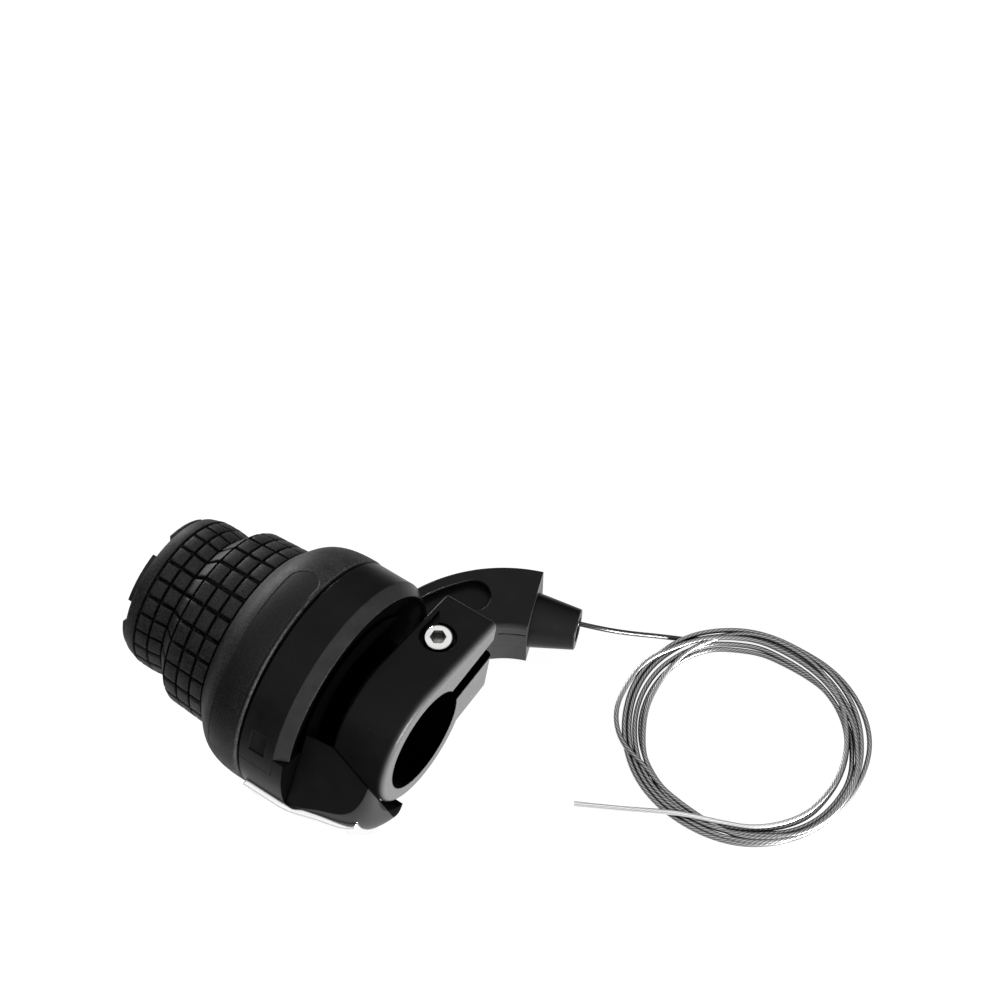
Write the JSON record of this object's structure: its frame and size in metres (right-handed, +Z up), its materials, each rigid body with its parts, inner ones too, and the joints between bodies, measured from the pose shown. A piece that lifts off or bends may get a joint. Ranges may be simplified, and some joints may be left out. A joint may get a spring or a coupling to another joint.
{
  "type": "twist grip shifter",
  "caption": "Bicycle twist grip gear shifter: ribbed rubber barrel that winds a cable, bar clamp with bolt, curved cable guide, gear window and bare coiled inner cable.",
  "frame": {"origin": "on the handlebar axis, midway along the clamp", "axes": "+X along the bar, out of the clamp end; +Y towards the clamp lug; +Z up along the clamp bolt"},
  "size_m": [0.1409, 0.1057, 0.0524],
  "materials": {
    "housing": "satin moulded",
    "guide": "satin moulded",
    "ferrule": "satin moulded",
    "pod": "satin moulded",
    "barrel": "satin moulded",
    "drum": "satin moulded",
    "rubber": "matt",
    "bolt": "plated",
    "nut": "plated",
    "spring": "bare",
    "washer": "natural",
    "bezel": "bright silver",
    "lens": "clear",
    "dial": "printed card",
    "pointer": "moulded",
    "cable": "stranded bare wire",
    "cable_head": "cast"
  },
  "bodies": {
    "housing": {"clamp_housing": "housing", "clamp_bolt": "bolt", "clamp_nut": "nut", "cable_guide": "guide", "guide_cover": "guide", "guide_screw": "nut", "casing_ferrule": "ferrule", "indicator_pod": "pod", "indicator_bezel": "bezel", "indicator_lens": "lens", "indicator_dial": "dial", "detent_spring": "spring", "barrel_washer": "washer", "inner_wire": "cable", "cable_lead": "cable", "cable_coil": "cable", "cable_tail": "cable"},
    "twist": {"twist_barrel": "barrel", "grip_rubber": "rubber", "cable_drum": "drum", "cable_head": "cable_head", "wrapped_wire": "cable"},
    "pointer": {"indicator_pointer": "pointer"}
  },
  "joints": [
    {"name": "twist", "type": "hinge", "parent": "housing", "child": "twist", "pos_m": [0, 0, 0], "axis": [-1, 0, 0], "range_deg": [0, 66.46]},
    {"name": "pointer_slide", "type": "slide", "parent": "housing", "child": "pointer", "axis": [1, 0, 0], "range_m": [0, 0.0144]}
  ],
  "couplings": [
    {"joint": "pointer_slide", "follows": "twist", "m_per_rad": 0.012414}
  ]
}
